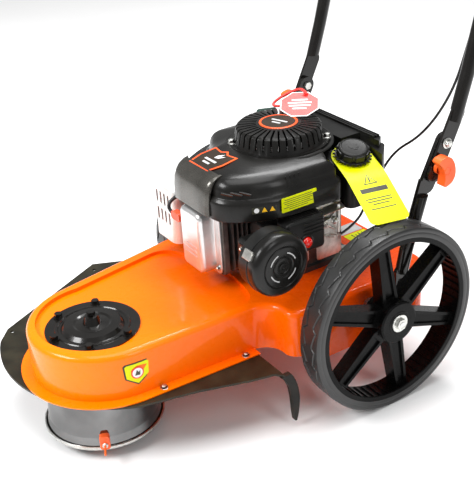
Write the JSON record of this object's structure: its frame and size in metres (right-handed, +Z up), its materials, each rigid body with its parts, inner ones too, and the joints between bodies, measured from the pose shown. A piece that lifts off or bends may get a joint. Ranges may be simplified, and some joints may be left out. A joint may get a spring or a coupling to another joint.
{
  "type": "walk-behind brush cutter",
  "caption": "Two-wheeled walk-behind brush cutter: pressed deck, vertical-shaft petrol engine, belt-driven trimmer dish at the nose and a folding handlebar.",
  "frame": {"origin": "on the ground under the cutting spindle, in the middle of the ground glide", "axes": "+Z up along the cutting spindle, -Y towards the nose, +Y towards the handlebar, +X towards the operator's left"},
  "size_m": [0.6444, 1.0179, 0.9464],
  "materials": {
    "deck_paint": "gloss",
    "skirt_plastic": "satin",
    "zinc": "satin",
    "flap_rubber": "matte",
    "black_paint": "satin",
    "cast_alloy": "rough",
    "steel": "satin",
    "belt_rubber": "matte",
    "black_plastic": "matte",
    "dark_chrome": "polished",
    "holder_orange": "satin",
    "line_orange": "gloss",
    "wheel_plastic": "satin",
    "tyre": "matte",
    "cover_silver": "satin",
    "boot_red": "satin",
    "muffler_steel": "satin",
    "guard_silver": "satin",
    "black_gloss": "gloss",
    "grip_green": "satin",
    "panel_silver": "satin",
    "tag_yellow": "satin",
    "filter_foam": "matte",
    "bulb_red": "satin",
    "bracket_zinc": "satin",
    "grip_rubber": "matte",
    "knob_orange": "satin",
    "cable_black": "satin"
  },
  "bodies": {
    "chassis": {"air_filter_base": "black_plastic", "air_filter_element": "filter_foam", "axle": "steel", "axle_nuts": "zinc", "carb_cover": "black_plastic", "carburettor": "cast_alloy", "caution_tag": "tag_yellow", "control_bracket": "bracket_zinc", "control_cable_lower": "cable_black", "cover_bolts": "zinc", "cylinder_head": "cast_alloy", "deck_shell": "deck_paint", "drive_belt": "belt_rubber", "engine_block": "cast_alloy", "engine_fasteners": "zinc", "engine_shroud": "black_gloss", "fuel_tank": "black_plastic", "guard_skirt": "skirt_plastic", "handle_bolts": "zinc", "idler_stud": "steel", "lower_handle_left": "black_paint", "lower_handle_right": "black_paint", "mud_flaps": "flap_rubber", "muffler": "muffler_steel", "muffler_guard": "guard_silver", "recoil_cover": "black_gloss", "shroud_front_panel": "panel_silver", "spark_plug": "steel", "spark_plug_boot": "boot_red", "spindle_bearings": "steel", "spindle_cover": "black_paint", "spindle_housing": "cast_alloy", "valve_cover": "cover_silver"},
    "left_wheel": {"wheel_left": "wheel_plastic", "tyre_left": "tyre"},
    "right_wheel": {"wheel_right": "wheel_plastic", "tyre_right": "tyre"},
    "cutting_head": {"spindle_shaft": "steel", "spindle_pulley": "steel", "trimmer_dish": "dark_chrome", "line_holders": "holder_orange", "trimmer_lines": "line_orange"},
    "glide": {"ground_glide": "black_plastic"},
    "crank": {"crankshaft": "steel", "flywheel": "cast_alloy", "engine_pulley": "steel"},
    "idler": {"idler_pulley": "black_plastic"},
    "pull_grip": {"starter_handle": "grip_green"},
    "reel": {"starter_reel": "black_plastic"},
    "cap": {"fuel_cap": "black_plastic"},
    "filter_lid": {"air_filter_cover": "black_gloss"},
    "primer": {"primer_bulb": "bulb_red"},
    "brake_arm": {"brake_lever": "bracket_zinc"},
    "upper_handle": {"upper_handlebar": "black_paint", "handle_grips": "grip_rubber", "control_cable_upper": "cable_black"},
    "bail": {"bail_lever": "black_paint"},
    "left_knob": {"handle_knob_left": "knob_orange"},
    "right_knob": {"handle_knob_right": "knob_orange"}
  },
  "joints": [
    {"name": "left_wheel_roll", "type": "hinge", "parent": "chassis", "child": "left_wheel", "pos_m": [0, 0.457, 0.1778], "axis": [1, 0, 0], "continuous": true},
    {"name": "right_wheel_roll", "type": "hinge", "parent": "chassis", "child": "right_wheel", "pos_m": [0, 0.457, 0.1778], "axis": [1, 0, 0], "continuous": true},
    {"name": "crank_spin", "type": "hinge", "parent": "chassis", "child": "crank", "pos_m": [0, 0.411, 0.3], "axis": [0, 0, 1], "continuous": true},
    {"name": "head_spin", "type": "hinge", "parent": "chassis", "child": "cutting_head", "pos_m": [0, 0, 0.1], "axis": [0, 0, 1], "continuous": true},
    {"name": "idler_spin", "type": "hinge", "parent": "chassis", "child": "idler", "pos_m": [-0.07458, 0.19, 0.138], "axis": [0, 0, 1], "continuous": true},
    {"name": "glide_spin", "type": "hinge", "parent": "cutting_head", "child": "glide", "pos_m": [0, 0, 0.05], "axis": [0, 0, 1], "continuous": true},
    {"name": "starter_pull", "type": "slide", "parent": "chassis", "child": "pull_grip", "axis": [-0.92, 0.392, 0], "range_m": [0, 0.6], "stiffness_N_per_m": 15},
    {"name": "reel_spin", "type": "hinge", "parent": "chassis", "child": "reel", "pos_m": [0, 0.411, 0.46], "axis": [0, 0, 1], "range_deg": [0, 660]},
    {"name": "fuel_cap_turn", "type": "hinge", "parent": "chassis", "child": "cap", "pos_m": [0.1, 0.501, 0.426], "axis": [0.2532, -0.0538, 0.9659], "range_deg": [0, 90]},
    {"name": "filter_lid_slide", "type": "slide", "parent": "chassis", "child": "filter_lid", "axis": [1, 0, 0], "range_m": [0, 0.05]},
    {"name": "primer_press", "type": "slide", "parent": "chassis", "child": "primer", "axis": [-1, 0, 0], "range_m": [0, 0.004], "stiffness_N_per_m": 300},
    {"name": "brake_lever_swing", "type": "hinge", "parent": "chassis", "child": "brake_arm", "pos_m": [0.122, 0.438, 0.326], "axis": [1, 0, 0], "range_deg": [-16, 0]},
    {"name": "handle_fold", "type": "hinge", "parent": "chassis", "child": "upper_handle", "pos_m": [0, 0.623, 0.452], "axis": [1, 0, 0], "range_deg": [0, 95]},
    {"name": "bail_swing", "type": "hinge", "parent": "upper_handle", "child": "bail", "pos_m": [0, 0.801, 0.838], "axis": [1, 0, 0], "range_deg": [-35, 0], "stiffness_Nm_per_rad": 0.8},
    {"name": "left_knob_turn", "type": "hinge", "parent": "chassis", "child": "left_knob", "pos_m": [0.22, 0.603, 0.412], "axis": [1, 0, 0], "range_deg": [0, 180]},
    {"name": "right_knob_turn", "type": "hinge", "parent": "chassis", "child": "right_knob", "pos_m": [-0.22, 0.603, 0.412], "axis": [1, 0, 0], "range_deg": [-180, 0]}
  ],
  "couplings": [
    {"joint": "head_spin", "follows": "crank_spin", "ratio": 0.65385},
    {"joint": "idler_spin", "follows": "crank_spin", "ratio": -1.5454},
    {"joint": "reel_spin", "follows": "starter_pull", "rad_per_m": 18.182},
    {"joint": "brake_lever_swing", "follows": "bail_swing", "ratio": 0.45}
  ]
}
